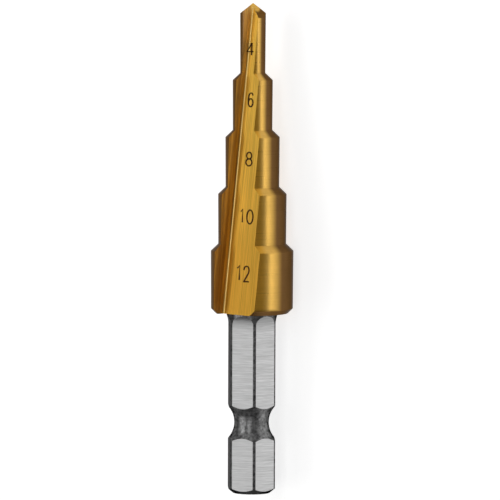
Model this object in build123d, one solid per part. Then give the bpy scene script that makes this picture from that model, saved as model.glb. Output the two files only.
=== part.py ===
from build123d import *
import os
from math import atan2, cos, degrees, radians, sin, sqrt, tan

# A step drill with V flutes and a hex bit shank, ground from one piece of round stock.
# It is built upright: +Z runs along the drill's axis from the shank's end to the point,
# and the flute that carries the size marks faces -Y. At the end it is laid down on the
# two edges of its other flute, with +Y towards the point.
# Lengths are in millimetres and angles in degrees.

# Shank
shank_length = 25.4
hex_across_flats = 6.35
hex_turn = 6.3
stock_diameter = 7.1
end_chamfer_length = 0.75
end_chamfer_depth = 0.95
flat_runout_radius = 2.25
neck_length = 0.25

# Locking groove round the shank
groove_from_end = 10.0
groove_root_diameter = 4.87
groove_arc_radius = 3.3

# Steps
step_count = 5
first_step_diameter = 4.0
step_growth = 2.0
step_land_length = 7.0
step_chamfer_angle = 45.0
largest_land_length = 8.1
point_land_length = 9.8
base_chamfer = 0.7
back_taper = 0.35
edge_round = 0.12

# Radial relief: each half of the steps is turned about an axis of its own
relief_offset = 0.29
relief_ridge_turn = 50.0

# Flutes: straight V grooves that lean across the axis and get shallower to the shank
flute_angle = 90.0
flute_turn = 3.0
flute_lean = 5.27
flute_rise = 0.69
web_half_at_point = 0.5
flute_side_offset = 0.04
flute_root_round = 0.3

# Point: two pairs of flat facets that meet at the tip
point_angle = 102.7
split_angle = 78.1
split_turn = 48.3

# What follows from the sizes above
stock_radius = stock_diameter / 2
flat_distance = hex_across_flats / 2
chamfer_height = step_growth / 2 / tan(radians(step_chamfer_angle))
largest_front_z = shank_length + base_chamfer + largest_land_length
point_land_z = largest_front_z + (step_count - 1) * (step_land_length + chamfer_height) - step_land_length
tip_z = point_land_z + point_land_length
largest_diameter = first_step_diameter + (step_count - 1) * step_growth
wall_angle = radians(flute_angle / 2 - flute_turn)
rake_angle = radians(flute_angle / 2 + flute_turn)

# Cutting bodies run past the drill by this much, and reach this far from its axis
overrun = 5.0
reach = 2 * largest_diameter


def front_radius(step):
    """Radius at the front corner of a step, where step 0 is the smallest."""
    return (first_step_diameter + step * step_growth) / 2


def rear_radius(step, land_length):
    """Radius at the back of a step, less than at its front by the back taper."""
    return front_radius(step) - land_length * tan(radians(back_taper))


def stepped_outline():
    """Half section of the steps, from the base of the largest to above the point."""
    largest = step_count - 1
    base_radius = rear_radius(largest, largest_land_length)
    points = [
        (0, shank_length),
        (base_radius - base_chamfer, shank_length),
        (base_radius, shank_length + base_chamfer),
    ]
    front_z = largest_front_z
    for step in range(largest, 0, -1):
        next_land_length = step_land_length if step > 1 else point_land_length
        rear_z = front_z + chamfer_height
        points.append((front_radius(step), front_z))
        points.append((rear_radius(step - 1, next_land_length), rear_z))
        front_z = rear_z + step_land_length
    points.append((front_radius(0), tip_z))
    points.append((front_radius(0), tip_z + overrun))
    points.append((0, tip_z + overrun))
    outline = make_face(Polyline(*points, close=True))
    corners = [corner for corner in outline.vertices() if corner.X > 0 and corner.Y < tip_z]
    return fillet(corners, edge_round)


def relieved_steps():
    """The steps with radial relief: highest along two opposite ridges, falling behind them."""
    turned = revolve(Plane.XZ * stepped_outline(), Axis.Z)
    shifted = Pos(relief_offset, 0, 0) * turned
    half = split(shifted, bisect_by=Plane.YZ, keep=Keep.BOTTOM)
    return Rot(Z=-relief_ridge_turn) * (half + Rot(Z=180) * half)


def flat_cutter():
    """What is ground away beyond one flat, with a round end where the wheel lifts off."""
    depth = stock_radius - flat_distance
    runout_height = sqrt(2 * flat_runout_radius * depth - depth**2)
    runout_z = shank_length - neck_length - runout_height
    block = Box(reach, stock_diameter, runout_z + overrun, align=(Align.MIN, Align.CENTER, Align.MAX))
    wheel = Rot(X=90) * Cylinder(flat_runout_radius, stock_diameter)
    return Pos(flat_distance, 0, runout_z) * (block + Pos(flat_runout_radius, 0, 0) * wheel)


def shank():
    """Hex shank ground on round stock, with a chamfered end and a locking groove."""
    inside_steps_z = shank_length + base_chamfer
    outline = make_face(
        Polyline(
            (0, 0),
            (stock_radius - end_chamfer_depth, 0),
            (stock_radius, end_chamfer_length),
            (stock_radius, inside_steps_z),
            (0, inside_steps_z),
            close=True,
        )
    )
    groove_centre = groove_root_diameter / 2 + groove_arc_radius
    outline -= Pos(groove_centre, groove_from_end) * Circle(groove_arc_radius)
    body = revolve(Plane.XZ * outline, Axis.Z)
    for side in range(6):
        body -= Rot(Z=hex_turn + 60 * side) * flat_cutter()
    return body


def flute_cutter():
    """A long V-shaped bar that lies along the root of the marked flute."""
    to_shank = Vector(-tan(radians(flute_lean)), -tan(radians(flute_rise)), -1)
    root_at_tip = Vector(flute_side_offset, -web_half_at_point, tip_z)
    section = make_face(
        Polyline(
            (0, 0),
            (reach * sin(wall_angle), reach * cos(wall_angle)),
            (-reach * sin(rake_angle), reach * cos(rake_angle)),
            close=True,
        )
    )
    root_corner = section.vertices().sort_by(Axis.Y)[0]
    section = fillet(root_corner, flute_root_round)
    section_plane = Plane(
        origin=root_at_tip - to_shank * overrun,
        x_dir=Vector(0, -1, 0).cross(to_shank),
        z_dir=to_shank,
    )
    return extrude(section_plane * section, amount=tip_z + 2 * overrun)


def point_facets(included_angle, turn):
    """A roof whose ridge passes through the tip: the drill is what lies inside it."""
    depth = tip_z + overrun
    half_width = depth * tan(radians(included_angle / 2))
    gable = Polyline((0, tip_z), (half_width, -overrun), (-half_width, -overrun), close=True)
    return Rot(Z=turn) * extrude(Plane.XZ * make_face(gable), amount=reach, both=True)


def circle_point(start, direction, radius):
    """Where a ray from a point inside a circle round the axis meets that circle."""
    along = start.dot(direction)
    return start + direction * (sqrt(along**2 - start.dot(start) + radius**2) - along)


def flute_mouth_turn():
    """Angle round the axis from -Y to the middle of the marked flute's mouth."""
    below_tip = tip_z - largest_front_z + largest_land_length / 2
    root = Vector(
        flute_side_offset - below_tip * tan(radians(flute_lean)),
        -web_half_at_point - below_tip * tan(radians(flute_rise)),
        0,
    )
    heel_radius = largest_diameter / 2 - relief_offset
    heel = circle_point(root, Vector(sin(wall_angle), -cos(wall_angle), 0), heel_radius)
    lip = circle_point(root, Vector(-sin(rake_angle), -cos(rake_angle), 0), largest_diameter / 2)
    return degrees(atan2(lip.Y - heel.Y, heel.X - lip.X))


def step_drill():
    """The whole drill, upright."""
    body = relieved_steps() + shank()
    for half_turn in (0, 180):
        body -= Rot(Z=half_turn) * flute_cutter()
    body &= point_facets(point_angle, 0)
    body &= point_facets(split_angle, -split_turn)
    return body


def laid_down(body):
    """The drill on its lower flute's edges, with the middle of its box over the origin."""
    lying = Rot(X=-90) * Rot(Z=flute_mouth_turn()) * body
    box = lying.bounding_box()
    return Pos(-box.center().X, -box.center().Y, -box.min.Z) * lying


os.makedirs("parts", exist_ok=True)
export_step(laid_down(step_drill()), "parts/step_drill.step")
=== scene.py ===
from math import asin, atan2, cos, pi, radians, sin, sqrt, tan

import bpy
from bpy.props import FloatProperty, FloatVectorProperty, IntProperty, PointerProperty
from mathutils import Euler, Matrix, Vector


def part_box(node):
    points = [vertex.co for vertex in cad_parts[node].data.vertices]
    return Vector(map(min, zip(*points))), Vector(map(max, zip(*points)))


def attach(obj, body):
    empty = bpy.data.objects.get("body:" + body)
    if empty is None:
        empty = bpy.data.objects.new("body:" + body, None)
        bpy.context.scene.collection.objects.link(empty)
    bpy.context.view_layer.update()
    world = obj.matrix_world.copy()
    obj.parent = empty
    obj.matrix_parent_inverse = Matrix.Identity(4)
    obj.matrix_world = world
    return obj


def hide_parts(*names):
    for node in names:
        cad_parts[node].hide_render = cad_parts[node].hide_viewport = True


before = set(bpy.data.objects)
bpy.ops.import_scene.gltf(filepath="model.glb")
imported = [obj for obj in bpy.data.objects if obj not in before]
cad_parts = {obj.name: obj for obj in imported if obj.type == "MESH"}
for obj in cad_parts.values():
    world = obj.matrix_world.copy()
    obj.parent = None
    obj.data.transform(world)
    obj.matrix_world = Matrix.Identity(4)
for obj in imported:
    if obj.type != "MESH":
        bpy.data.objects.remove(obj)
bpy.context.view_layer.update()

bl_info = {
    "name": "Step Drill",
    "version": (1, 0, 0),
    "blender": (4, 5, 0),
    "location": "View3D > Sidebar > Step Drill",
    "description": (
        "A coated step drill with V flutes and a hex bit shank, and a small studio to show it in"),
    "category": "Add Mesh",
}

NODE = "step_drill"
BODY = "root"

# The drill is modelled upright at a thousand times its size, so one unit is a millimetre.
# Its point is up, and the flute with the numbers faces -Y. laid_down() then turns it, sets it
# on its lower flute's edges, and makes it its real size.
MILLI = 0.001

# Cutting bodies run past the drill by this much, and what is nearer than FINE is one point
OVERRUN = 5.0
FINE = 1e-4

# The CAD model's box is measured on its flat facets. The drill is made this much narrower to
# stay inside it.
FIT = 0.999

# How many flat parts make a full turn of the steps and the shank, and the curves of a section
STEP_PARTS = 288
SHANK_PARTS = 192
EDGE_PARTS = 4
ROOT_PARTS = 8
GROOVE_PARTS = 24
WHEEL_PARTS = 32

# Points nearer than this are merged where the two halves of the steps meet
SEAM = 0.002

# How far the shank's top stays below the top of the base chamfer
SHANK_INSIDE = 0.05

# Edges sharper than this stay sharp
SMOOTH_ANGLE = radians(25)


# ---------------------------------------------------------------- sizes and colours


class StepDrillSizes(bpy.types.PropertyGroup):
    """The sizes of the drill, the same as in its CAD model."""

    shank_length: FloatProperty(
        name="Shank Length", description="Length from the end of the shank to the largest step",
        default=0.0254, unit="LENGTH")
    hex_across_flats: FloatProperty(
        name="Hex Across Flats", description="Width of the hex shank from flat to flat",
        default=0.00635, unit="LENGTH")
    hex_turn: FloatProperty(
        name="Hex Turn", description="Turn of the hex against the flutes",
        default=radians(6.3), subtype="ANGLE")
    stock_diameter: FloatProperty(
        name="Stock Diameter", description="Diameter of the round stock the flats are ground on",
        default=0.0071, unit="LENGTH")
    end_chamfer_length: FloatProperty(
        name="End Chamfer Length", description="Length of the chamfer on the end of the shank",
        default=0.00075, unit="LENGTH")
    end_chamfer_depth: FloatProperty(
        name="End Chamfer Depth", description="How far that chamfer cuts in towards the axis",
        default=0.00095, unit="LENGTH")
    flat_runout_radius: FloatProperty(
        name="Flat Runout Radius",
        description="Radius of the wheel that leaves the round end of each flat",
        default=0.00225, unit="LENGTH")
    neck_length: FloatProperty(
        name="Neck Length", description="Round neck between the flats and the largest step",
        default=0.00025, unit="LENGTH")
    groove_from_end: FloatProperty(
        name="Groove From End",
        description="Distance of the locking groove from the end of the shank",
        default=0.010, unit="LENGTH")
    groove_root_diameter: FloatProperty(
        name="Groove Root Diameter", description="Diameter at the bottom of the locking groove",
        default=0.00487, unit="LENGTH")
    groove_arc_radius: FloatProperty(
        name="Groove Arc Radius", description="Radius of the locking groove's section",
        default=0.0033, unit="LENGTH")
    step_count: IntProperty(
        name="Steps", description="Number of steps", default=5, min=2, max=12)
    first_step_diameter: FloatProperty(
        name="First Step Diameter", description="Diameter of the smallest step",
        default=0.004, unit="LENGTH")
    step_growth: FloatProperty(
        name="Step Growth", description="How much larger each step is than the one before it",
        default=0.002, unit="LENGTH")
    step_land_length: FloatProperty(
        name="Step Length", description="Length of the straight part of a middle step",
        default=0.007, unit="LENGTH")
    largest_land_length: FloatProperty(
        name="Largest Step Length", description="Length of the straight part of the largest step",
        default=0.0081, unit="LENGTH")
    point_land_length: FloatProperty(
        name="First Step Length", description="Length of the smallest step up to the tip",
        default=0.0098, unit="LENGTH")
    base_chamfer: FloatProperty(
        name="Base Chamfer", description="Chamfer between the largest step and the shank",
        default=0.0007, unit="LENGTH")
    back_taper: FloatProperty(
        name="Back Taper", description="Slope of each step towards the shank",
        default=radians(0.35), subtype="ANGLE")
    edge_round: FloatProperty(
        name="Edge Round", description="Radius on the corners of the steps",
        default=0.00012, unit="LENGTH")
    relief_offset: FloatProperty(
        name="Relief Offset", description="How far each half of the steps is turned off centre",
        default=0.00029, unit="LENGTH")
    relief_ridge_turn: FloatProperty(
        name="Relief Ridge Turn", description="Where the highest line of each half lies",
        default=radians(50), subtype="ANGLE")
    flute_angle: FloatProperty(
        name="Flute Angle", description="Angle of the V of each flute",
        default=radians(90), subtype="ANGLE")
    flute_turn: FloatProperty(
        name="Flute Turn", description="Turn of that V about its root",
        default=radians(3), subtype="ANGLE")
    flute_lean: FloatProperty(
        name="Flute Lean", description="Lean of the flute across the axis",
        default=radians(5.27), subtype="ANGLE")
    flute_rise: FloatProperty(
        name="Flute Rise", description="How fast the root gets further from the axis",
        default=radians(0.69), subtype="ANGLE")
    web_half_at_point: FloatProperty(
        name="Half Web at the Point", description="Distance of the root from the axis at the tip",
        default=0.0005, unit="LENGTH")
    flute_side_offset: FloatProperty(
        name="Flute Side Offset", description="Sideways place of the root at the tip",
        default=0.00004, unit="LENGTH")
    flute_root_round: FloatProperty(
        name="Flute Root Radius", description="Radius at the bottom of the flute",
        default=0.0003, unit="LENGTH")
    point_angle: FloatProperty(
        name="Point Angle", description="Included angle of the two main facets of the point",
        default=radians(102.7), subtype="ANGLE")
    split_angle: FloatProperty(
        name="Split Angle", description="Included angle of the two facets that split the point",
        default=radians(78.1), subtype="ANGLE")
    split_turn: FloatProperty(
        name="Split Turn", description="Turn of the split facets against the main ones",
        default=radians(48.3), subtype="ANGLE")


class StepDrillFinish(bpy.types.PropertyGroup):
    """The colours of the drill's surfaces, several of them painted light or painted shade."""

    coating: FloatVectorProperty(
        name="Coating", description="Colour of the gold nitride coating",
        subtype="COLOR", size=3, min=0, max=1, default=(0.74, 0.44, 0.10))
    # Lighter than the coating: painted light on the numbered walls
    flute_coating_painted_light: FloatVectorProperty(
        name="Flute Coating", description="Colour of the coating on the walls with the numbers",
        subtype="COLOR", size=3, min=0, max=1, default=(0.90, 0.56, 0.090))
    # Lighter than the coating: a painted highlight in the root of each flute
    root_painted_highlight: FloatVectorProperty(
        name="Root Coating",
        description="Colour of the coating in the round at the bottom of each flute",
        subtype="COLOR", size=3, min=0, max=1, default=(1.0, 0.68, 0.22))
    # Darker than the coating: painted shade towards the shank and along the heels
    painted_shade_coating: FloatVectorProperty(
        name="Deep Coating",
        description="Colour of the coating towards the shank and along the heels",
        subtype="COLOR", size=3, min=0, max=1, default=(0.74, 0.38, 0.045))
    # Painted shade: the dark reflection on the lands near the cutting edges and at the base, and on
    # the split facets
    painted_shade_bronze: FloatVectorProperty(
        name="Bronze", description="Colour of the coating near the cutting edges",
        subtype="COLOR", size=3, min=0, max=1, default=(0.17, 0.088, 0.030))
    # Partly painted shade: the rake walls' dark streaks, darker than the coating
    rake_streaks_and_painted_shade: FloatVectorProperty(
        name="Rake Bronze",
        description="Colour of the dark streaks on the walls with the cutting edges",
        subtype="COLOR", size=3, min=0, max=1, default=(0.38, 0.21, 0.055))
    ground_steel: FloatVectorProperty(
        name="Ground Steel", description="Colour of the ground flats",
        subtype="COLOR", size=3, min=0, max=1, default=(0.58, 0.58, 0.58))
    dark_stock: FloatVectorProperty(
        name="Dark Stock", description="Colour of the round stock between the flats",
        subtype="COLOR", size=3, min=0, max=1, default=(0.17, 0.17, 0.17))
    # Darker than the stock: painted shade on the shank's end and its chamfer
    painted_shade_end: FloatVectorProperty(
        name="Dark End", description="Colour of the shank's end and its chamfer",
        subtype="COLOR", size=3, min=0, max=1, default=(0.07, 0.07, 0.07))
    number_ink: FloatVectorProperty(
        name="Number Colour", description="Colour of the size numbers",
        subtype="COLOR", size=3, min=0, max=1, default=(0.060, 0.024, 0.004))


def mm(length):
    """A length in metres as millimetres."""
    return length / MILLI


def front_radius(s, step):
    """Radius in millimetres at the front of a step, where step 0 is the smallest."""
    return mm(s.first_step_diameter + step * s.step_growth) / 2


def largest_front_z(s):
    return mm(s.shank_length + s.base_chamfer + s.largest_land_length)


def tip_z(s):
    pitch = mm(s.step_land_length + s.step_growth / 2)
    point_extra = mm(s.point_land_length - s.step_land_length)
    return largest_front_z(s) + (s.step_count - 1) * pitch + point_extra


def flute_walls(s):
    """Angles of the flute's numbered wall and its rake wall, from straight out of its mouth."""
    return s.flute_angle / 2 - s.flute_turn, s.flute_angle / 2 + s.flute_turn


def root_direction(s):
    """Direction of the flute's root, from the tip to the shank."""
    return Vector((-tan(s.flute_lean), -tan(s.flute_rise), -1))


def root_at_tip(s):
    return Vector((mm(s.flute_side_offset), -mm(s.web_half_at_point), tip_z(s)))


# ---------------------------------------------------------------- modelling by hand


def deselect():
    if bpy.context.mode != "OBJECT":
        bpy.ops.object.mode_set(mode="OBJECT")
    bpy.ops.object.select_all(action="DESELECT")


def only(piece):
    """Makes a piece the only selected one."""
    deselect()
    piece.select_set(True)
    bpy.context.view_layer.objects.active = piece
    return piece


def edit(piece, mode="VERT"):
    """Opens a piece in edit mode with all of it selected."""
    only(piece)
    bpy.ops.object.mode_set(mode="EDIT")
    bpy.ops.mesh.select_mode(type=mode)
    bpy.ops.mesh.select_all(action="SELECT")


def done():
    """Leaves edit mode and applies the place of the piece."""
    bpy.ops.object.mode_set(mode="OBJECT")
    bpy.ops.object.transform_apply(location=True, rotation=True, scale=True)
    return bpy.context.active_object


def draw(name, points):
    """A line drawn point by point, from a plane merged to one corner. It stays in edit mode."""
    deselect()
    places = [Vector(point) for point in points]
    bpy.ops.mesh.primitive_plane_add(size=1, location=places[0])
    piece = bpy.context.active_object
    piece.name = name
    bpy.ops.object.mode_set(mode="EDIT")
    bpy.ops.mesh.select_mode(type="VERT")
    bpy.ops.mesh.select_all(action="SELECT")
    bpy.ops.mesh.merge(type="CENTER")
    for here, there in zip(places, places[1:]):
        move = {"value": there - here}
        bpy.ops.mesh.extrude_region_move(TRANSFORM_OT_translate=move)
    return piece


def bar(name, points, along):
    """A closed outline, filled and extruded to a bar."""
    draw(name, points)
    bpy.ops.mesh.select_all(action="SELECT")
    bpy.ops.mesh.edge_face_add()
    bpy.ops.mesh.extrude_region_move(TRANSFORM_OT_translate={"value": along})
    bpy.ops.mesh.select_all(action="SELECT")
    bpy.ops.mesh.normals_make_consistent(inside=False)
    return done()


def turned(name, points, offset, parts):
    """A line spun full circle about an upright axis at that distance from the drill's own."""
    draw(name, points)
    bpy.ops.mesh.select_all(action="SELECT")
    bpy.ops.mesh.spin(steps=parts, angle=2 * pi, center=(offset, 0, 0), axis=(0, 0, 1))
    bpy.ops.mesh.select_all(action="SELECT")
    bpy.ops.mesh.remove_doubles(threshold=FINE)
    bpy.ops.mesh.normals_make_consistent(inside=False)
    return done()


def copy_turned(piece, angle):
    """A copy with its own mesh, turned about the drill's axis."""
    only(piece)
    bpy.ops.object.duplicate()
    copy = bpy.context.active_object
    copy.rotation_euler = (0, 0, angle)
    bpy.ops.object.transform_apply(location=True, rotation=True, scale=True)
    return copy


def combine(piece, tool, operation):
    """Adds a tool to a piece or cuts it away, and removes the tool."""
    only(piece)
    bpy.ops.object.modifier_add(type="BOOLEAN")
    modifier = piece.modifiers[-1]
    modifier.operation = operation
    modifier.solver = "EXACT"
    modifier.object = tool
    bpy.ops.object.modifier_apply(modifier=modifier.name)
    only(tool)
    bpy.ops.object.delete()
    if not piece.data.polygons:
        raise RuntimeError(f"nothing is left of {piece.name} after {operation}")


def cut_off(piece, place, outward, fill=True):
    """Removes what lies beyond a plane."""
    edit(piece)
    bpy.ops.mesh.bisect(
        plane_co=place, plane_no=outward, use_fill=fill, clear_outer=True, threshold=FINE)
    done()


def rounded(points, radius, corners, parts):
    """Points of a line with the named corners rounded."""
    line = []
    for index, point in enumerate(points):
        here = Vector(point)
        if index not in corners:
            line.append(here)
            continue
        back = (Vector(points[index - 1]) - here).normalized()
        ahead = (Vector(points[index + 1]) - here).normalized()
        opening = back.angle(ahead)
        centre = here + (back + ahead).normalized() * radius / sin(opening / 2)
        start = here + back * radius / tan(opening / 2)
        sweep = pi - opening
        first = start - centre
        side = (here - start).normalized()
        for part in range(parts + 1):
            turn = sweep * part / parts
            line.append(centre + first * cos(turn) + side * radius * sin(turn))
    return line


# ---------------------------------------------------------------- the steps and the shank


def relieved_steps(s):
    """The steps, each half turned about its own axis, so that it falls away from its ridge."""
    slope = tan(s.back_taper)
    largest = s.step_count - 1
    radius = front_radius(s, largest) - mm(s.largest_land_length) * slope
    base = mm(s.shank_length)
    chamfer = mm(s.base_chamfer)
    outline = [(0, base), (radius - chamfer, base), (radius, base + chamfer)]
    z = base + chamfer + mm(s.largest_land_length)
    for step in range(largest, 0, -1):
        land = mm(s.step_land_length if step > 1 else s.point_land_length)
        outline.append((front_radius(s, step), z))
        z += mm(s.step_growth) / 2
        outline.append((front_radius(s, step - 1) - land * slope, z))
        z += mm(s.step_land_length)
    outline.append((front_radius(s, 0), tip_z(s)))
    corners = range(1, len(outline) - 1)
    outline += [(front_radius(s, 0), tip_z(s) + OVERRUN), (0, tip_z(s) + OVERRUN)]
    offset = mm(s.relief_offset)
    section = [(offset + r, 0, h) for r, h in outline]
    section = rounded(section, mm(s.edge_round), corners, EDGE_PARTS)
    steps = turned("drill_body", section, offset, STEP_PARTS)
    cut_off(steps, (0, 0, 0), (1, 0, 0), fill=False)
    edit(steps)
    bpy.ops.mesh.duplicate()
    bpy.ops.transform.rotate(value=pi, orient_axis="Z", center_override=(0, 0, 0))
    bpy.ops.mesh.select_all(action="SELECT")
    bpy.ops.mesh.remove_doubles(threshold=SEAM)
    bpy.ops.mesh.normals_make_consistent(inside=False)
    bpy.ops.object.mode_set(mode="OBJECT")
    steps.rotation_euler = (0, 0, -s.relief_ridge_turn)
    return done()


def shank(s):
    """The hex shank, ground on round stock, with its locking groove."""
    stock = mm(s.stock_diameter) / 2
    end = mm(s.end_chamfer_length)
    arc = mm(s.groove_arc_radius)
    centre_r = mm(s.groove_root_diameter) / 2 + arc
    centre_z = mm(s.groove_from_end)
    half = asin(sqrt(arc ** 2 - (centre_r - stock) ** 2) / arc)
    outline = [(0, 0), (stock - mm(s.end_chamfer_depth), 0), (stock, end)]
    for part in range(GROOVE_PARTS + 1):
        turn = half * (2 * part / GROOVE_PARTS - 1)
        outline.append((centre_r - arc * cos(turn), centre_z + arc * sin(turn)))
    top = mm(s.shank_length + s.base_chamfer) - SHANK_INSIDE
    outline += [(stock, top), (0, top)]
    body = turned("shank", [(r, 0, h) for r, h in outline], 0, SHANK_PARTS)
    for side in range(6):
        combine(body, flat_cutter(s, s.hex_turn + radians(60) * side), "DIFFERENCE")
    return body


def flat_cutter(s, turn):
    """What the wheel grinds away on one side of the hex."""
    stock = mm(s.stock_diameter) / 2
    flat = mm(s.hex_across_flats) / 2
    wheel = mm(s.flat_runout_radius)
    depth = stock - flat
    runout = mm(s.shank_length - s.neck_length) - sqrt(2 * wheel * depth - depth ** 2)
    width = mm(s.stock_diameter)
    outline = [(flat + 2 * wheel, -OVERRUN), (flat, -OVERRUN)]
    for part in range(WHEEL_PARTS + 1):
        lift = pi / 2 * part / WHEEL_PARTS
        outline.append((flat + wheel - wheel * cos(lift), runout + wheel * sin(lift)))
    outline.append((flat + 2 * wheel, runout + wheel))
    cutter = bar("wheel", [(x, -width / 2, z) for x, z in outline], (0, width, 0))
    only(cutter)
    cutter.rotation_euler = (0, 0, turn)
    return done()


def flute_cutter(s):
    """A long V bar with a rounded root, lying along the marked flute."""
    wall, rake = flute_walls(s)
    reach = 2 * front_radius(s, s.step_count)
    along = root_direction(s)
    across = Vector((0, -1, 0)).cross(along).normalized()
    out = along.cross(across).normalized()
    origin = root_at_tip(s) - along * OVERRUN
    corners = [
        (-reach * sin(rake), reach * cos(rake)),
        (0, 0),
        (reach * sin(wall), reach * cos(wall)),
    ]
    flat_corners = [(u, v, 0) for u, v in corners]
    section = rounded(flat_corners, mm(s.flute_root_round), [1], ROOT_PARTS)
    points = [origin + across * place.x + out * place.y for place in section]
    return bar("flute", points, along.normalized() * (tip_z(s) + 2 * OVERRUN))


def grind_point(body, s):
    """The four facets of the split point."""
    tip = Vector((0, 0, tip_z(s)))
    for included, turn in ((s.point_angle, 0), (s.split_angle, -s.split_turn)):
        for side in (0, pi):
            outward = Vector((cos(included / 2), 0, sin(included / 2)))
            outward.rotate(Euler((0, 0, turn + side)))
            cut_off(body, tip, outward)


def mouth_turn(s):
    """Angle round the axis to the middle of the marked flute's mouth."""
    below = tip_z(s) - largest_front_z(s) + mm(s.largest_land_length) / 2
    root = root_at_tip(s) + root_direction(s) * below
    root.z = 0
    wall, rake = flute_walls(s)
    radius = front_radius(s, s.step_count - 1)
    heel = on_circle(root, Vector((sin(wall), -cos(wall), 0)), radius - mm(s.relief_offset))
    lip = on_circle(root, Vector((-sin(rake), -cos(rake), 0)), radius)
    return atan2(lip.y - heel.y, heel.x - lip.x)


def on_circle(start, direction, radius):
    """Where a ray from inside a circle round the axis meets it."""
    along = start.dot(direction)
    return start + direction * (sqrt(along ** 2 - start.dot(start) + radius ** 2) - along)


def axis_height():
    """Height of the drill's axis over the floor, in millimetres."""
    low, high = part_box(NODE)
    return mm((low[2] + high[2]) / 2)


def laid_down_matrix(s):
    """From the upright drill in millimetres to the drill as it lies at rest."""
    upright = Matrix.Rotation(mouth_turn(s), 4, "Z")
    lying = Matrix.Rotation(-pi / 2, 4, "X")
    centred = Matrix.Translation((0, -tip_z(s) / 2, axis_height()))
    return Matrix.Scale(MILLI, 4) @ centred @ lying @ upright


def laid_down(piece, s):
    """Lays a piece down as the drill lies at rest, at its real size, with its place in its mesh."""
    only(piece)
    piece.matrix_world = laid_down_matrix(s)
    done()
    piece.scale.x = FIT
    return done()


# ---------------------------------------------------------------- finishes


# Scales of noise across, along and up the drill, where a large number gives fine grain
TURNED_LINES = (60, 9000, 60)
TURNED_CLOUD = (500, 250, 500)
WALL_FINE = (6500, 120, 6500)
WALL_BROAD = (1500, 40, 1500)
RAKE_FINE = (6500, 150, 6500)
RAKE_BROAD = (1700, 50, 1700)
POINT_LINES = (900, 6000, 900)
FLAT_FINE = (500, 16000, 500)
FLAT_LONG = (150, 7000, 150)
STOCK_LINES = (3500, 400, 3500)
STOCK_MOTTLE = (2200, 2200, 2200)
END_CLOUD = (900, 900, 900)
NUMBER_MOTTLE = (4000, 4000, 4000)

# Heights of the fine relief, in metres
TURNED_RELIEF = 0.0000001
WALL_RELIEF = 0.0000008
FLAT_RELIEF = 0.0000004
STOCK_RELIEF = 0.000004

LAND_ROUGHNESS = 0.3
WALL_ROUGHNESS = 0.5
ROOT_ROUGHNESS = 0.42
FLAT_ROUGHNESS = 0.3
STOCK_ROUGHNESS = 0.36
NUMBER_ROUGHNESS = 0.7
NUMBER_SPECULAR = 0.15

# How far reflections are drawn out across the grinding lines
WALL_DRAWN_OUT = 0.3
FLAT_DRAWN_OUT = 0.6

# How much of its reflection a land keeps where it turns edge on
LAND_EDGE = 0.45

# Turns round the axis, from straight up, over which a land goes from a darker gold at its heel
# to gold, and on to a dark brown; both the darker gold and the dark brown are painted shade
HEEL_PAINTED_SHADE = (radians(39), radians(50))
PAINTED_SHADE_TURNS = (radians(58), radians(76))

# Places along the drill, in metres, over which a tone changes: painted shade at the base
# chamfer, along the numbered walls and at the neck, and painted light on the rake walls near the
# point
BASE_PAINTED_SHADE = (-0.0086, -0.0080)
WALL_PAINTED_SHADE_ALONG = (-0.009, 0.024)
RAKE_PAINTED_LIGHT_NEAR_POINT = (0.027, 0.032)
FLAT_PAINTED_SHADE_NEAR_NECK = (-0.0117, -0.0098)
STOCK_PAINTED_SHADE_NEAR_NECK = (-0.0108, -0.0098)

# Distances from the axis, in metres, over which a facet of the point goes to its outer tone,
# which on the split facets is a painted shade
POINT_PAINTED_SHADE_RADII = (0.0008, 0.0011)

# The middle part of a noise node's values, which a shade is stretched over
NOISE_RANGE = (0.3, 0.7)


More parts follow.
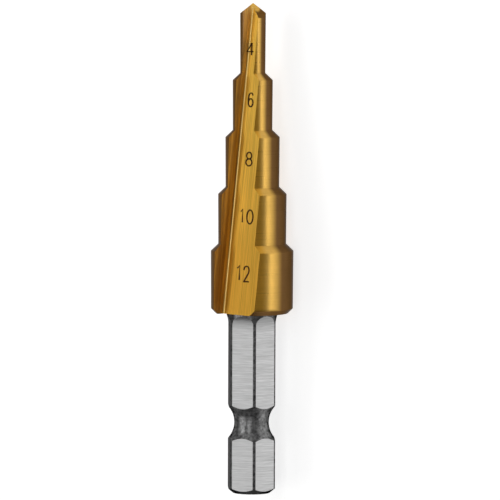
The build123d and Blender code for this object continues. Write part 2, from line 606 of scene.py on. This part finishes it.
class Finish:
    """A material with one principled shader, and the nodes that feed it."""

    def __init__(self, name, color, roughness, metallic=1.0):
        self.material = bpy.data.materials.new(name)
        self.material.use_nodes = True
        self.nodes = self.material.node_tree.nodes
        self.links = self.material.node_tree.links
        self.shader = self.nodes["Principled BSDF"].inputs
        self.shader["Base Color"].default_value = (*color, 1)
        self.shader["Roughness"].default_value = roughness
        self.shader["Metallic"].default_value = metallic

    def feed(self, socket, value):
        """Gives a socket a plain value or another node's output."""
        if isinstance(value, bpy.types.NodeSocket):
            self.links.new(value, socket)
        else:
            socket.default_value = value

    def maths(self, operation, *values):
        """The result of one Math node."""
        node = self.nodes.new("ShaderNodeMath")
        node.operation = operation
        for socket, value in zip(node.inputs, values):
            self.feed(socket, value)
        return node.outputs[0]

    def own_place(self):
        """The object's own coordinates, as three values."""
        place = self.nodes.new("ShaderNodeTexCoord")
        split = self.nodes.new("ShaderNodeSeparateXYZ")
        self.feed(split.inputs[0], place.outputs["Object"])
        return tuple(split.outputs)

    def along(self):
        """Place along the drill."""
        return self.own_place()[1]

    def over_axis(self, z):
        """Height over the drill's axis."""
        return self.maths("SUBTRACT", z, axis_height() * MILLI)

    def noise(self, scale, detail=4.0, place=None):
        """Noise drawn out by the three scales, on the object's own coordinates or a given place."""
        if place is None:
            place = self.nodes.new("ShaderNodeTexCoord").outputs["Object"]
        mapping = self.nodes.new("ShaderNodeMapping")
        noise = self.nodes.new("ShaderNodeTexNoise")
        self.feed(mapping.inputs["Vector"], place)
        self.feed(mapping.inputs["Scale"], scale)
        self.feed(noise.inputs["Vector"], mapping.outputs["Vector"])
        self.feed(noise.inputs["Scale"], 1.0)
        self.feed(noise.inputs["Detail"], detail)
        return noise.outputs["Fac"]

    def spread(self, value, between, first, last, smooth=False):
        """A value stretched from one range to another."""
        stretch = self.nodes.new("ShaderNodeMapRange")
        if smooth:
            stretch.interpolation_type = "SMOOTHSTEP"
        self.feed(stretch.inputs["Value"], value)
        self.feed(stretch.inputs["From Min"], between[0])
        self.feed(stretch.inputs["From Max"], between[1])
        self.feed(stretch.inputs["To Min"], first)
        self.feed(stretch.inputs["To Max"], last)
        return stretch.outputs["Result"]

    def shade(self, noise, dark, light, between=NOISE_RANGE):
        """A factor that a noise takes from dark to light."""
        return self.spread(noise, between, dark, light)

    def blended(self, value, first, second):
        """A colour between two others."""
        mix = self.nodes.new("ShaderNodeMix")
        mix.data_type = "RGBA"
        self.feed(mix.inputs[0], value)
        for socket, color in ((mix.inputs[6], first), (mix.inputs[7], second)):
            self.feed(socket, color if isinstance(color, bpy.types.NodeSocket) else (*color, 1))
        return mix.outputs[2]

    def toned(self, color, *shades):
        """Sets the colour, made darker or lighter by each of the shades."""
        for shade in shades:
            scale = self.nodes.new("ShaderNodeVectorMath")
            scale.operation = "SCALE"
            self.feed(scale.inputs[0], color)
            self.feed(scale.inputs["Scale"], shade)
            color = scale.outputs[0]
        self.feed(self.shader["Base Color"], color)

    def bumped(self, value, height):
        """Adds fine relief."""
        bump = self.nodes.new("ShaderNodeBump")
        self.feed(bump.inputs["Strength"], 1.0)
        self.feed(bump.inputs["Distance"], height)
        self.feed(bump.inputs["Height"], value)
        self.feed(self.shader["Normal"], bump.outputs["Normal"])

    def drawn_out(self, amount, around):
        """Draws reflections out across grinding lines that run round the axis or along it."""
        self.shader["Anisotropic"].default_value = amount
        axis = self.nodes.new("ShaderNodeCombineXYZ")
        self.feed(axis.inputs["Y"], 1.0)
        across = axis.outputs[0]
        if not around:
            surface = self.nodes.new("ShaderNodeNewGeometry")
            cross = self.nodes.new("ShaderNodeVectorMath")
            cross.operation = "CROSS_PRODUCT"
            self.feed(cross.inputs[0], surface.outputs["True Normal"])
            self.feed(cross.inputs[1], across)
            across = cross.outputs["Vector"]
        self.feed(self.shader["Tangent"], across)

    def dark_edged(self, level=0.0):
        """Metal that dims to this level where it turns edge on."""
        self.shader["Specular Tint"].default_value = (level, level, level, 1)

    def along_flute(self, s):
        """Coordinates that run with the flutes, the same for each as one is the other turned."""
        x, y, z = self.own_place()
        height = self.over_axis(z)
        side = self.maths("SIGN", height)
        turn = mouth_turn(s)
        drift_x = tan(s.flute_lean) * cos(turn) - tan(s.flute_rise) * sin(turn)
        drift_z = -tan(s.flute_lean) * sin(turn) - tan(s.flute_rise) * cos(turn)
        across = self.maths("MULTIPLY", x, side)
        up = self.maths("MULTIPLY", height, side)
        place = self.nodes.new("ShaderNodeCombineXYZ")
        self.feed(place.inputs[0], self.maths("MULTIPLY_ADD", y, -drift_x, across))
        self.feed(place.inputs[1], y)
        self.feed(place.inputs[2], self.maths("MULTIPLY_ADD", y, -drift_z, up))
        return place.outputs[0]


def land_finish(gold, painted_shade_deep, painted_shade_bronze):
    """Coated lands: fine turned lines, with painted shade: a darker gold at the heel, dark brown at
    the cutting edge and base.
    """
    coat = Finish("coated_land", gold, LAND_ROUGHNESS)
    x, y, z = coat.own_place()
    turn = coat.maths("FLOORED_MODULO", coat.maths("ARCTAN2", x, coat.over_axis(z)), pi)
    # Painted shade: dark brown towards the cutting edge and at the base, and a darker gold at the
    # heel
    painted_shade_near_edge = coat.spread(turn, PAINTED_SHADE_TURNS, 0, 1, smooth=True)
    painted_shade_near_base = coat.spread(y, BASE_PAINTED_SHADE, 1, 0, smooth=True)
    past_heel_painted_shade = coat.spread(turn, HEEL_PAINTED_SHADE, 0, 1, smooth=True)
    painted_darkening = coat.maths("MAXIMUM", painted_shade_near_edge, painted_shade_near_base)
    lines = coat.noise(TURNED_LINES)
    coat.toned(
        coat.blended(painted_darkening, coat.blended(past_heel_painted_shade, painted_shade_deep, gold), painted_shade_bronze),
        coat.shade(lines, 0.96, 1.04),
        coat.shade(coat.noise(TURNED_CLOUD), 0.92, 1.08),
    )
    roughness = coat.shade(lines, LAND_ROUGHNESS - 0.03, LAND_ROUGHNESS + 0.03)
    coat.feed(coat.shader["Roughness"], roughness)
    coat.bumped(lines, TURNED_RELIEF)
    coat.dark_edged(LAND_EDGE)
    return coat.material


def wall_finish(color, painted_shade_deep, s):
    """The numbered walls: a lighter coat as painted light, with painted shade towards the shank,
    and fine streaks along the flute.
    """
    coat = Finish("coated_flute", color, WALL_ROUGHNESS)
    place = coat.along_flute(s)
    fine = coat.noise(WALL_FINE, place=place)
    # The lighter colour is painted light, and it darkens towards the shank as painted shade
    coat.toned(
        coat.blended(coat.spread(coat.along(), WALL_PAINTED_SHADE_ALONG, 0.7, 0, smooth=True), color, painted_shade_deep),
        coat.shade(fine, 0.80, 1.16, between=(0.35, 0.65)),
        coat.shade(coat.noise(WALL_BROAD, place=place), 0.92, 1.06),
    )
    coat.bumped(fine, WALL_RELIEF)
    coat.drawn_out(WALL_DRAWN_OUT, around=False)
    coat.dark_edged()
    return coat.material


def root_finish(color):
    """The round at the bottom of each flute: smoother than its walls, and lighter as a painted
    highlight.
    """
    coat = Finish("coated_root", color, ROOT_ROUGHNESS)
    coat.dark_edged()
    return coat.material


def rake_finish(gold, painted_shade_bronze, s):
    """The walls that end in the cutting edges: dark brown in uneven streaks, partly painted shade,
    and lighter at the point as painted light.
    """
    coat = Finish("coated_rake", painted_shade_bronze, WALL_ROUGHNESS)
    place = coat.along_flute(s)
    fine = coat.noise(RAKE_FINE, place=place)
    broad = coat.noise(RAKE_BROAD, place=place)
    # Painted shade in the dark streaks, and painted light towards the point
    coat.toned(
        coat.blended(coat.shade(broad, 0, 1, between=(0.42, 0.68)), painted_shade_bronze, gold),
        coat.shade(fine, 0.75, 1.15),
        coat.spread(coat.along(), RAKE_PAINTED_LIGHT_NEAR_POINT, 1, 1.6, smooth=True),
    )
    coat.bumped(fine, WALL_RELIEF)
    coat.drawn_out(WALL_DRAWN_OUT, around=False)
    coat.dark_edged()
    return coat.material


def point_finish(name, gold, outer):
    """Facets of the point: coated, with fine lines, and another tone away from the tip, which on
    the split facets is painted shade.
    """
    coat = Finish(name, gold, LAND_ROUGHNESS)
    x, _, z = coat.own_place()
    squares = [coat.maths("POWER", value, 2.0) for value in (x, coat.over_axis(z))]
    radius = coat.maths("SQRT", coat.maths("ADD", *squares))
    # On the split facets the outer tone is painted shade
    coat.toned(
        coat.blended(coat.spread(radius, POINT_PAINTED_SHADE_RADII, 0, 1, smooth=True), gold, outer),
        coat.shade(coat.noise(POINT_LINES), 0.85, 1.1),
    )
    coat.dark_edged()
    return coat.material


def flat_finish(color):
    """Ground flats: fine lines across them, and painted shade next to the neck."""
    steel = Finish("ground_flat", color, FLAT_ROUGHNESS)
    long = steel.noise(FLAT_LONG, detail=3.0)
    # Painted shade next to the neck
    steel.toned(
        color,
        steel.spread(steel.along(), FLAT_PAINTED_SHADE_NEAR_NECK, 1, 0.62, smooth=True),
        steel.shade(steel.noise(FLAT_FINE, detail=2.0), 0.84, 1.16),
        steel.shade(long, 0.86, 1.12),
    )
    steel.bumped(long, FLAT_RELIEF)
    steel.drawn_out(FLAT_DRAWN_OUT, around=True)
    steel.dark_edged()
    return steel.material


def stock_finish(color):
    """The round stock that the flats leave: dull and mottled, with painted shade at the neck."""
    steel = Finish("dark_stock", color, STOCK_ROUGHNESS)
    mottle = steel.noise(STOCK_MOTTLE, detail=8.0)
    # Painted shade at the neck
    steel.toned(
        color,
        steel.spread(steel.along(), STOCK_PAINTED_SHADE_NEAR_NECK, 1, 0.7),
        steel.shade(mottle, 0.6, 1.7, between=(0.35, 0.65)),
        steel.shade(steel.noise(STOCK_LINES), 0.8, 1.2),
    )
    steel.bumped(mottle, STOCK_RELIEF)
    steel.dark_edged()
    return steel.material


def end_finish(color):
    """The turned end of the shank: darkened by painted shade, with a faint cloud."""
    steel = Finish("painted_shade_end", color, STOCK_ROUGHNESS)
    steel.toned(color, steel.shade(steel.noise(END_CLOUD), 0.8, 1.2))
    steel.dark_edged()
    return steel.material


def number_finish(color):
    """The size numbers: dull and dark."""
    ink = Finish("burnt_number", color, NUMBER_ROUGHNESS, metallic=0.0)
    ink.toned(color, ink.shade(ink.noise(NUMBER_MOTTLE), 0.7, 1.4))
    ink.shader["Specular IOR Level"].default_value = NUMBER_SPECULAR
    return ink.material


# The finishes of the body's faces, in the order of its material slots
LAND, WALL, RAKE, POINT, SPLIT, FLAT, STOCK, ROOT, END = range(9)

# How a face is told apart: lengths in millimetres, and the rest as cosines of angles
WALL_OFF_PARALLEL = 0.02
WALL_FACES_OUT = 0.5
WALL_OFF_PLACE = 0.2
WALL_BELOW_STEPS = 1.5
RAKE_FROM = 0.2
ROOT_FROM = -0.5
POINT_STEEPNESS = 0.45
POINT_HEIGHT = 3
RUNOUT_HEIGHT = 3
FLAT_OFF_SQUARE = 0.9999
FLAT_STEEPNESS = 0.95
FLAT_OFF_PLACE = 0.002


def in_flute(place, facing, s):
    """Whether a face is part of the marked flute: a wall or the round at its root."""
    along = root_direction(s).normalized()
    away = place - root_at_tip(s)
    away -= along * away.dot(along)
    parallel = abs(facing.dot(along)) < WALL_OFF_PARALLEL and facing.y < -WALL_FACES_OUT
    near = abs(away.dot(facing)) < WALL_OFF_PLACE and away.y < WALL_OFF_PLACE
    return parallel and near and place.z > mm(s.shank_length) - WALL_BELOW_STEPS


def on_flat(place, facing, s):
    """Whether a face is part of one of the shank's flats."""
    flat = mm(s.hex_across_flats) / 2
    sixth = radians(60)
    turn = s.hex_turn + sixth * round((atan2(facing.y, facing.x) - s.hex_turn) / sixth)
    outward = Vector((cos(turn), sin(turn)))
    distance = place.xy.dot(outward)
    runout = place.z > mm(s.shank_length) - RUNOUT_HEIGHT and distance > flat
    square = facing.xy.normalized().dot(outward) > FLAT_OFF_SQUARE
    upright = abs(facing.z) < FLAT_STEEPNESS
    return square and upright and (runout or abs(distance - flat) < FLAT_OFF_PLACE)


def surface_kind(place, facing, s):
    """Which finish a face of the upright drill has."""
    for side in (0, -pi):
        turned_place = place.copy()
        turned_facing = facing.copy()
        turned_place.rotate(Euler((0, 0, side)))
        turned_facing.rotate(Euler((0, 0, side)))
        if in_flute(turned_place, turned_facing, s):
            if turned_facing.x > RAKE_FROM:
                return RAKE
            return ROOT if turned_facing.x > ROOT_FROM else WALL
    near_tip = place.z > tip_z(s) - POINT_HEIGHT and place.xy.length < front_radius(s, 0)
    if near_tip and facing.z > POINT_STEEPNESS:
        return POINT if facing.z > sin((s.point_angle + s.split_angle) / 4) else SPLIT
    if place.z > mm(s.shank_length) - FINE:
        return LAND
    if on_flat(place, facing, s):
        return FLAT
    return END if place.z < mm(s.end_chamfer_length) else STOCK


class STEPDRILL_OT_add_body(bpy.types.Operator):
    """Add the drill: relieved steps, hex shank, two V flutes and the split point"""

    bl_idname = "stepdrill.add_body"
    bl_label = "Add Drill Body"

    def execute(self, context):
        s = context.scene.step_drill
        finish = context.scene.step_drill_finish
        body = relieved_steps(s)
        combine(body, shank(s), "UNION")
        cutter = flute_cutter(s)
        other = copy_turned(cutter, pi)
        combine(body, cutter, "DIFFERENCE")
        combine(body, other, "DIFFERENCE")
        grind_point(body, s)
        edit(body)
        bpy.ops.mesh.remove_doubles(threshold=FINE)
        done()
        body.name = "drill_body"
        body.data.materials.clear()
        for material in (
            land_finish(finish.coating, finish.painted_shade_coating, finish.painted_shade_bronze),
            wall_finish(finish.flute_coating_painted_light, finish.painted_shade_coating, s),
            rake_finish(finish.coating, finish.rake_streaks_and_painted_shade, s),
            point_finish("coated_point", finish.coating, finish.coating),
            point_finish("coated_split", finish.coating, finish.painted_shade_bronze),
            flat_finish(finish.ground_steel),
            stock_finish(finish.dark_stock),
            root_finish(finish.root_painted_highlight),
            end_finish(finish.painted_shade_end),
        ):
            body.data.materials.append(material)
        for face in body.data.polygons:
            face.material_index = surface_kind(face.center, face.normal, s)
        bpy.ops.object.shade_smooth_by_angle(angle=SMOOTH_ANGLE)
        bpy.ops.object.modifier_add(type="WEIGHTED_NORMAL")
        weighted = body.modifiers[-1]
        weighted.keep_sharp = True
        bpy.ops.object.modifier_apply(modifier=weighted.name)
        laid_down(body, s)
        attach(body, BODY)
        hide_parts(NODE)
        return {"FINISHED"}


# Each digit: its place across the drill and along it, its height and its width, in millimetres
DIGIT_PLACES = (
    ("4", -0.35, 62.56, 1.92, 1.10),
    ("6", -0.275, 55.46, 2.07, 0.85),
    ("8", -0.49, 47.23, 2.11, 1.03),
    ("1", -1.476, 39.28, 2.07, 0.44),
    ("0", -0.335, 39.19, 2.15, 1.05),
    ("1", -1.927, 31.30, 2.24, 0.53),
    ("2", -0.811, 31.19, 2.37, 1.01),
)

# The digits' line width and lean, how far before the axis they start, the cuts that let them
# follow the wall, how far they stand out of it, and how thick they are
STROKE = 0.21
DIGIT_LEAN = radians(2.5)
DIGIT_START = -8
DIGIT_CUTS = 12
DIGIT_PROUD = 0.012
DIGIT_THICKNESS = 0.01
OVAL_PARTS = 24


def oval(middle, width, height):
    """Points round an oval, the last on the first."""
    turns = [2 * pi * part / OVAL_PARTS for part in range(OVAL_PARTS + 1)]
    return [(0.5 + width / 2 * sin(turn), middle + height / 2 * cos(turn)) for turn in turns]


# The strokes of each digit in a box one wide and one high, and whether each is smooth
DIGIT_STROKES = {
    "0": [(False, oval(0.5, 1, 1))],
    "1": [(False, [(0, 0.8), (1, 1), (1, 0)])],
    "2": [
        (True, [
            (0.05, 0.74), (0.1, 0.92), (0.42, 1.02), (0.85, 0.98), (0.98, 0.7), (0.7, 0.42),
            (0.1, 0.0)]),
        (False, [(0, 0), (1, 0.03)]),
    ],
    "4": [(False, [(0.72, 1), (0, 0.3), (1, 0.3)]), (False, [(0.72, 1), (0.72, 0)])],
    "6": [
        (False, oval(0.3, 1, 0.6)),
        (True, [(0.0, 0.34), (-0.02, 0.6), (0.08, 0.9), (0.45, 1.04), (0.85, 1.0), (0.92, 0.84)]),
    ],
    "8": [(False, oval(0.75, 0.84, 0.5)), (False, oval(0.26, 1, 0.52))],
}


def digit_mark(digit, across, height, tall, wide, body):
    """One digit, laid on the wall of the flute from straight before its mouth."""
    deselect()
    bpy.ops.curve.primitive_bezier_curve_add(location=(0, 0, 0))
    mark = bpy.context.active_object
    line = mark.data
    line.splines.clear()
    line.twist_mode = "Z_UP"
    line.resolution_u = 6
    line.extrude = STROKE / 2
    for smooth, points in DIGIT_STROKES[digit]:
        spline = line.splines.new("NURBS" if smooth else "POLY")
        spline.points.add(len(points) - 1)
        for point, (x, y) in zip(spline.points, points):
            rise = (y - 0.5) * (tall - STROKE)
            point.co = ((x - 0.5) * (wide - STROKE) + rise * tan(DIGIT_LEAN), rise, 0, 1)
            point.tilt = pi / 2
        if smooth:
            spline.order_u = 3
            spline.use_endpoint_u = True
    bpy.ops.object.convert(target="MESH")
    mark = bpy.context.active_object
    before = Matrix.Translation((across, DIGIT_START, height))
    mark.matrix_world = before @ Matrix.Rotation(pi / 2, 4, "X")
    done()
    edit(mark)
    bpy.ops.mesh.remove_doubles(threshold=FINE)
    for part in range(1, DIGIT_CUTS):
        share = part / DIGIT_CUTS - 0.5
        bpy.ops.mesh.select_all(action="SELECT")
        bpy.ops.mesh.bisect(
            plane_co=(0, 0, height + tall * share), plane_no=(0, 0, 1), threshold=FINE)
        bpy.ops.mesh.select_all(action="SELECT")
        bpy.ops.mesh.bisect(
            plane_co=(across + wide * share, 0, 0), plane_no=(1, 0, 0), threshold=FINE)
    bpy.ops.mesh.select_all(action="SELECT")
    bpy.ops.mesh.quads_convert_to_tris()
    bpy.ops.mesh.normals_make_consistent(inside=False)
    done()
    only(mark)
    bpy.ops.object.modifier_add(type="SHRINKWRAP")
    wrap = mark.modifiers[-1]
    wrap.wrap_method = "PROJECT"
    wrap.target = body
    wrap.use_project_x = False
    wrap.use_project_y = True
    wrap.use_project_z = False
    wrap.use_positive_direction = True
    wrap.use_negative_direction = False
    wrap.offset = DIGIT_PROUD
    bpy.ops.object.modifier_apply(modifier=wrap.name)
    bpy.ops.object.modifier_add(type="SOLIDIFY")
    solid = mark.modifiers[-1]
    solid.thickness = DIGIT_THICKNESS
    solid.offset = -1.0
    bpy.ops.object.modifier_apply(modifier=solid.name)
    return mark


class STEPDRILL_OT_add_numbers(bpy.types.Operator):
    """Add the diameters of the steps, as thin dark marks on the flute beside them"""

    bl_idname = "stepdrill.add_numbers"
    bl_label = "Add Size Numbers"

    def execute(self, context):
        s = context.scene.step_drill
        body = bpy.data.objects.get("drill_body")
        if body is None:
            raise RuntimeError("the numbers need the drill body")
        # The digits are laid on a copy of the body that is set upright again
        only(body)
        bpy.ops.object.duplicate()
        upright = bpy.context.active_object
        upright.scale.x = 1 / FIT
        done()
        upright.matrix_world = laid_down_matrix(s).inverted()
        done()
        marks = [digit_mark(*place, upright) for place in DIGIT_PLACES]
        only(upright)
        bpy.ops.object.delete()
        deselect()
        for mark in marks:
            mark.select_set(True)
        bpy.context.view_layer.objects.active = marks[0]
        bpy.ops.object.join()
        numbers = bpy.context.active_object
        numbers.name = "size_numbers"
        numbers.data.materials.clear()
        ink = context.scene.step_drill_finish.number_ink
        numbers.data.materials.append(number_finish(ink))
        laid_down(numbers, s)
        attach(numbers, BODY)
        return {"FINISHED"}


# ---------------------------------------------------------------- the stage


# Each lamp: its turn about the drill and its lift towards the point in degrees, its size in
# metres, and its brightness, where 1 is white
LAMPS = (
    ("key_strip", -67, 0, (0.20, 0.70), 2.7),
    ("left_fill", -46, 0, (0.13, 0.70), 0.75),
    ("front_softbox", -15, 0, (0.13, 0.70), 2.2),
    ("right_fill", 30, 0, (0.36, 0.70), 0.17),
    ("right_strip", 57, 0, (0.085, 0.70), 2.0),
    ("point_softbox", -25, 60, (0.50, 0.30), 0.75),
    ("shank_softbox", -25, -60, (0.50, 0.30), 0.15),
)
LAMP_DISTANCE = 0.5
SURROUNDINGS = 0.03

FLOOR_SIZE = 6
FLOOR_GREY = 0.5
FLOOR_ROUGHNESS = 0.9

# How brightly the floor shows to the camera and in metal, on top of its own lit colour
FLOOR_GLOW = 0.75
FLOOR_GLOW_IN_METAL = 0.56

# The height that the lamps and the camera aim at
AIM_HEIGHT = 0.00494

# The camera's distance, how far beyond the middle of the drill it stands, and its turn about
# its own view. It aims a little to the left of the drill's middle and a little towards its shank.
CAMERA_DISTANCE = 0.75
CAMERA_BEYOND = 0.058
CAMERA_ROLL = 0.0037
AIM_LEFT = 0.00031
AIM_BACK = 0.000217
SENSOR_WIDTH = 36
LENS = 385.35
CLIPPING = (0.01, 20)

ALONG = Vector((0, 1, 0))


class STEPDRILL_OT_add_stage(bpy.types.Operator):
    """Add the floor, the lamps, the surroundings and the camera"""

    bl_idname = "stepdrill.add_stage"
    bl_label = "Add Stage"

    def execute(self, context):
        turn = mouth_turn(context.scene.step_drill)
        toward = Vector((sin(turn), 0, cos(turn)))
        right = Vector((cos(turn), 0, -sin(turn)))
        centre = Vector((0, 0, AIM_HEIGHT))
        floor()
        surroundings(context.scene)
        for each in LAMPS:
            lamp(centre, toward, right, *each)
        camera(context.scene, toward, right, centre)
        return {"FINISHED"}


def floor():
    """A plain pale floor that keeps the drill's shadow."""
    deselect()
    bpy.ops.mesh.primitive_plane_add(size=FLOOR_SIZE, location=(0, 0, 0))
    ground = bpy.context.active_object
    ground.name = "studio_floor"
    edit(ground)
    bpy.ops.mesh.subdivide(number_cuts=4)
    done()
    pale = Finish("pale_floor", (FLOOR_GREY,) * 3, FLOOR_ROUGHNESS, metallic=0.0)
    seen = pale.nodes.new("ShaderNodeLightPath").outputs
    clear = pale.maths("MAXIMUM", seen["Is Glossy Ray"], seen["Is Transmission Ray"])
    reflected = pale.maths("MULTIPLY", clear, FLOOR_GLOW_IN_METAL)
    direct = pale.maths("MULTIPLY", seen["Is Camera Ray"], FLOOR_GLOW)
    pale.feed(pale.shader["Emission Color"], (1, 1, 1, 1))
    pale.feed(pale.shader["Emission Strength"], pale.maths("MAXIMUM", direct, reflected))
    ground.data.materials.append(pale.material)


def surroundings(scene):
    """A faint plain light from all round."""
    world = bpy.data.worlds.new("studio")
    scene.world = world
    world.use_nodes = True
    grey = world.node_tree.nodes["Background"].inputs
    grey["Color"].default_value = (1, 1, 1, 1)
    grey["Strength"].default_value = SURROUNDINGS


def view_from(place, back):
    """A view or a lamp at a place, with its back that way and its top along the drill."""
    side = ALONG.cross(back).normalized()
    turned_to = Matrix((side, back.cross(side), back)).transposed()
    return Matrix.Translation(place) @ turned_to.to_4x4()


def lamp(centre, toward, right, name, turn, lift, size, brightness):
    """A soft lamp that faces the drill, turned about it and lifted along it."""
    deselect()
    turn, lift = radians(turn), radians(lift)
    back = (toward * cos(turn) + right * sin(turn)) * cos(lift) + ALONG * sin(lift)
    bpy.ops.object.light_add(type="AREA")
    light = bpy.context.active_object
    light.name = name
    light.matrix_world = view_from(centre + back * LAMP_DISTANCE, back)
    light.data.shape = "RECTANGLE"
    light.data.size, light.data.size_y = size
    light.data.energy = brightness * pi * size[0] * size[1]


def camera(scene, toward, right, centre):
    """The camera, high over the drill and a little beyond its middle."""
    deselect()
    place = centre + toward * CAMERA_DISTANCE + ALONG * CAMERA_BEYOND
    target = centre - ALONG * AIM_BACK - right * AIM_LEFT
    bpy.ops.object.camera_add()
    view = bpy.context.active_object
    view.name = "studio_camera"
    roll = Matrix.Rotation(CAMERA_ROLL, 4, "Z")
    view.matrix_world = view_from(place, (place - target).normalized()) @ roll
    view.data.sensor_width = SENSOR_WIDTH
    view.data.lens = LENS
    view.data.clip_start, view.data.clip_end = CLIPPING
    scene.camera = view
    scene.view_settings.view_transform = "Standard"


class STEPDRILL_PT_panel(bpy.types.Panel):
    """The step drill's pieces"""

    bl_idname = "STEPDRILL_PT_panel"
    bl_label = "Step Drill"
    bl_space_type = "VIEW_3D"
    bl_region_type = "UI"
    bl_category = "Step Drill"

    def draw(self, context):
        for operator in OPERATORS:
            self.layout.operator(operator.bl_idname)
        for group in (context.scene.step_drill, context.scene.step_drill_finish):
            for name in group.__annotations__:
                self.layout.prop(group, name)


OPERATORS = (STEPDRILL_OT_add_body, STEPDRILL_OT_add_numbers, STEPDRILL_OT_add_stage)
CLASSES = (StepDrillSizes, StepDrillFinish, *OPERATORS, STEPDRILL_PT_panel)


def register():
    for cls in CLASSES:
        bpy.utils.register_class(cls)
    bpy.types.Scene.step_drill = PointerProperty(type=StepDrillSizes)
    bpy.types.Scene.step_drill_finish = PointerProperty(type=StepDrillFinish)


def unregister():
    del bpy.types.Scene.step_drill_finish
    del bpy.types.Scene.step_drill
    for cls in reversed(CLASSES):
        bpy.utils.unregister_class(cls)


def main():
    register()
    bpy.ops.stepdrill.add_body()
    bpy.ops.stepdrill.add_numbers()
    bpy.ops.stepdrill.add_stage()


if __name__ == "__main__":
    main()
